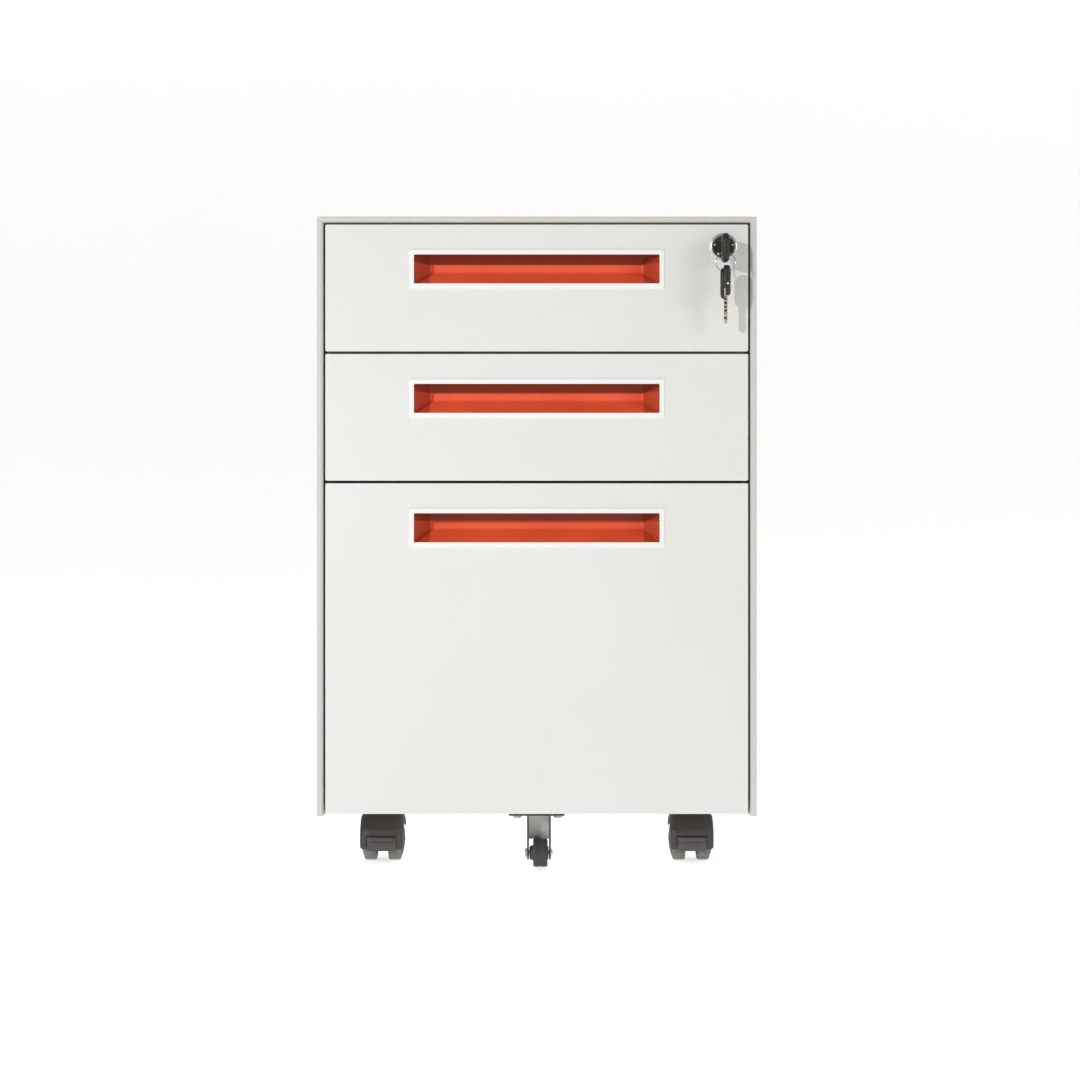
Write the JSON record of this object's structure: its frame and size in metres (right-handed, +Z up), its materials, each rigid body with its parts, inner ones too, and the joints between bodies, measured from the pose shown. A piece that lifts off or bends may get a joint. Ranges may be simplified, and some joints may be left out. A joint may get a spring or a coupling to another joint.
{
  "type": "filing cabinet",
  "caption": "Mobile sheet-steel pedestal with sliding drawers, recessed bright handles, a gang lock with keys, hooded twin-wheel casters and an anti-tip wheel.",
  "frame": {"origin": "middle of the bounding box in X and Y, on the floor under the casters", "axes": "+Z up, drawer fronts face -Y, +X to the right as seen from the front"},
  "size_m": [0.39, 0.53, 0.58],
  "materials": {
    "white_paint": "fine-textured satin powder coat",
    "orange_plastic": "satin",
    "zinc_steel": "zinc plated",
    "chrome": "polished",
    "wire_steel": "bright",
    "black_plastic": "satin",
    "hood_plastic": "satin",
    "wheel_plastic": "satin"
  },
  "bodies": {
    "cabinet": {"side_panel_left": "white_paint", "side_panel_right": "white_paint", "top_panel": "white_paint", "back_panel": "white_paint", "base_pan": "white_paint", "slide_posts": "zinc_steel", "fixed_slides": "zinc_steel", "slide_screws": "zinc_steel", "lock_bar_guides": "zinc_steel", "caster_plates": "zinc_steel", "caster_bolts": "zinc_steel"},
    "lock_bar": {"lock_bar": "zinc_steel"},
    "drawer_1": {"drawer_front_1": "white_paint", "drawer_liner_1": "white_paint", "drawer_box_1": "white_paint", "handle_cup_1": "orange_plastic", "drawer_slides_1": "zinc_steel", "lock_housing": "chrome", "lock_nut": "zinc_steel"},
    "slide_mids_1": {"slide_mids_1": "zinc_steel"},
    "drawer_2": {"drawer_front_2": "white_paint", "drawer_liner_2": "white_paint", "drawer_box_2": "white_paint", "handle_cup_2": "orange_plastic", "drawer_slides_2": "zinc_steel"},
    "slide_mids_2": {"slide_mids_2": "zinc_steel"},
    "drawer_3": {"drawer_front_3": "white_paint", "drawer_liner_3": "white_paint", "drawer_box_3": "white_paint", "handle_cup_3": "orange_plastic", "drawer_slides_3": "zinc_steel", "hanging_rails": "zinc_steel", "anti_tip_bracket": "zinc_steel", "anti_tip_screws": "zinc_steel", "anti_tip_bolt": "zinc_steel"},
    "slide_mids_3": {"slide_mids_3": "zinc_steel"},
    "lock_plug": {"lock_plug": "black_plastic", "lock_cam": "zinc_steel", "key": "black_plastic"},
    "key_ring": {"key_ring": "wire_steel"},
    "spare_key": {"spare_key": "black_plastic"},
    "anti_tip_wheel": {"anti_tip_wheel": "wheel_plastic"},
    "caster_front_left": {"caster_hood_front_left": "hood_plastic", "caster_axle_front_left": "zinc_steel"},
    "wheel_front_left_a": {"caster_wheel_front_left_a": "wheel_plastic"},
    "wheel_front_left_b": {"caster_wheel_front_left_b": "wheel_plastic"},
    "caster_front_right": {"caster_hood_front_right": "hood_plastic", "caster_axle_front_right": "zinc_steel"},
    "wheel_front_right_a": {"caster_wheel_front_right_a": "wheel_plastic"},
    "wheel_front_right_b": {"caster_wheel_front_right_b": "wheel_plastic"},
    "caster_rear_left": {"caster_hood_rear_left": "hood_plastic", "caster_axle_rear_left": "zinc_steel"},
    "wheel_rear_left_a": {"caster_wheel_rear_left_a": "wheel_plastic"},
    "wheel_rear_left_b": {"caster_wheel_rear_left_b": "wheel_plastic"},
    "caster_rear_right": {"caster_hood_rear_right": "hood_plastic", "caster_axle_rear_right": "zinc_steel"},
    "wheel_rear_right_a": {"caster_wheel_rear_right_a": "wheel_plastic"},
    "wheel_rear_right_b": {"caster_wheel_rear_right_b": "wheel_plastic"},
    "brake_left": {"brake_pedal_left": "hood_plastic"},
    "brake_right": {"brake_pedal_right": "hood_plastic"}
  },
  "joints": [
    {"name": "drawer_1_slide", "type": "slide", "parent": "cabinet", "child": "drawer_1", "axis": [0, -1, 0], "range_m": [0, 0.4]},
    {"name": "slide_mids_1_slide", "type": "slide", "parent": "cabinet", "child": "slide_mids_1", "axis": [0, -1, 0], "range_m": [0, 0.2]},
    {"name": "drawer_2_slide", "type": "slide", "parent": "cabinet", "child": "drawer_2", "axis": [0, -1, 0], "range_m": [0, 0.4]},
    {"name": "slide_mids_2_slide", "type": "slide", "parent": "cabinet", "child": "slide_mids_2", "axis": [0, -1, 0], "range_m": [0, 0.2]},
    {"name": "drawer_3_slide", "type": "slide", "parent": "cabinet", "child": "drawer_3", "axis": [0, -1, 0], "range_m": [0, 0.4]},
    {"name": "slide_mids_3_slide", "type": "slide", "parent": "cabinet", "child": "slide_mids_3", "axis": [0, -1, 0], "range_m": [0, 0.2]},
    {"name": "lock_turn", "type": "hinge", "parent": "drawer_1", "child": "lock_plug", "pos_m": [0.1655, -0.235, 0.553], "axis": [0, 1, 0], "range_deg": [0, 90]},
    {"name": "lock_bar_slide", "type": "slide", "parent": "cabinet", "child": "lock_bar", "axis": [0, 0, -1], "range_m": [0, 0.01414]},
    {"name": "key_ring_hang", "type": "hinge", "parent": "lock_plug", "child": "key_ring", "pos_m": [0.1655, -0.257, 0.54], "axis": [0, 1, 0], "range_deg": [-90, 0]},
    {"name": "spare_key_swing", "type": "hinge", "parent": "key_ring", "child": "spare_key", "pos_m": [0.1655, -0.257, 0.5285], "axis": [1, 0, 0], "range_deg": [-40, 12]},
    {"name": "anti_tip_wheel_roll", "type": "hinge", "parent": "drawer_3", "child": "anti_tip_wheel", "pos_m": [0.002, -0.221, 0.014], "axis": [1, 0, 0], "continuous": true},
    {"name": "caster_front_left_swivel", "type": "hinge", "parent": "cabinet", "child": "caster_front_left", "pos_m": [-0.141, -0.15, 0.045], "axis": [0, 0, 1], "continuous": true},
    {"name": "wheel_front_left_a_roll", "type": "hinge", "parent": "caster_front_left", "child": "wheel_front_left_a", "pos_m": [-0.141, -0.166, 0.02], "axis": [1, 0, 0], "continuous": true},
    {"name": "wheel_front_left_b_roll", "type": "hinge", "parent": "caster_front_left", "child": "wheel_front_left_b", "pos_m": [-0.141, -0.166, 0.02], "axis": [1, 0, 0], "continuous": true},
    {"name": "caster_front_right_swivel", "type": "hinge", "parent": "cabinet", "child": "caster_front_right", "pos_m": [0.141, -0.15, 0.045], "axis": [0, 0, 1], "continuous": true},
    {"name": "wheel_front_right_a_roll", "type": "hinge", "parent": "caster_front_right", "child": "wheel_front_right_a", "pos_m": [0.141, -0.166, 0.02], "axis": [1, 0, 0], "continuous": true},
    {"name": "wheel_front_right_b_roll", "type": "hinge", "parent": "caster_front_right", "child": "wheel_front_right_b", "pos_m": [0.141, -0.166, 0.02], "axis": [1, 0, 0], "continuous": true},
    {"name": "caster_rear_left_swivel", "type": "hinge", "parent": "cabinet", "child": "caster_rear_left", "pos_m": [-0.141, 0.205, 0.045], "axis": [0, 0, 1], "continuous": true},
    {"name": "wheel_rear_left_a_roll", "type": "hinge", "parent": "caster_rear_left", "child": "wheel_rear_left_a", "pos_m": [-0.141, 0.189, 0.02], "axis": [1, 0, 0], "continuous": true},
    {"name": "wheel_rear_left_b_roll", "type": "hinge", "parent": "caster_rear_left", "child": "wheel_rear_left_b", "pos_m": [-0.141, 0.189, 0.02], "axis": [1, 0, 0], "continuous": true},
    {"name": "caster_rear_right_swivel", "type": "hinge", "parent": "cabinet", "child": "caster_rear_right", "pos_m": [0.141, 0.205, 0.045], "axis": [0, 0, 1], "continuous": true},
    {"name": "wheel_rear_right_a_roll", "type": "hinge", "parent": "caster_rear_right", "child": "wheel_rear_right_a", "pos_m": [0.141, 0.189, 0.02], "axis": [1, 0, 0], "continuous": true},
    {"name": "wheel_rear_right_b_roll", "type": "hinge", "parent": "caster_rear_right", "child": "wheel_rear_right_b", "pos_m": [0.141, 0.189, 0.02], "axis": [1, 0, 0], "continuous": true},
    {"name": "brake_left_press", "type": "hinge", "parent": "caster_front_left", "child": "brake_left", "pos_m": [-0.141, -0.18931, 0.02204], "axis": [1, 0, 0], "range_deg": [0, 8]},
    {"name": "brake_right_press", "type": "hinge", "parent": "caster_front_right", "child": "brake_right", "pos_m": [0.141, -0.18931, 0.02204], "axis": [1, 0, 0], "range_deg": [0, 8]}
  ],
  "couplings": [
    {"joint": "slide_mids_1_slide", "follows": "drawer_1_slide", "ratio": 0.5},
    {"joint": "slide_mids_2_slide", "follows": "drawer_2_slide", "ratio": 0.5},
    {"joint": "slide_mids_3_slide", "follows": "drawer_3_slide", "ratio": 0.5},
    {"joint": "lock_turn", "follows": "lock_bar_slide", "rad_per_m": 111.07},
    {"joint": "key_ring_hang", "follows": "lock_bar_slide", "rad_per_m": -111.07}
  ]
}
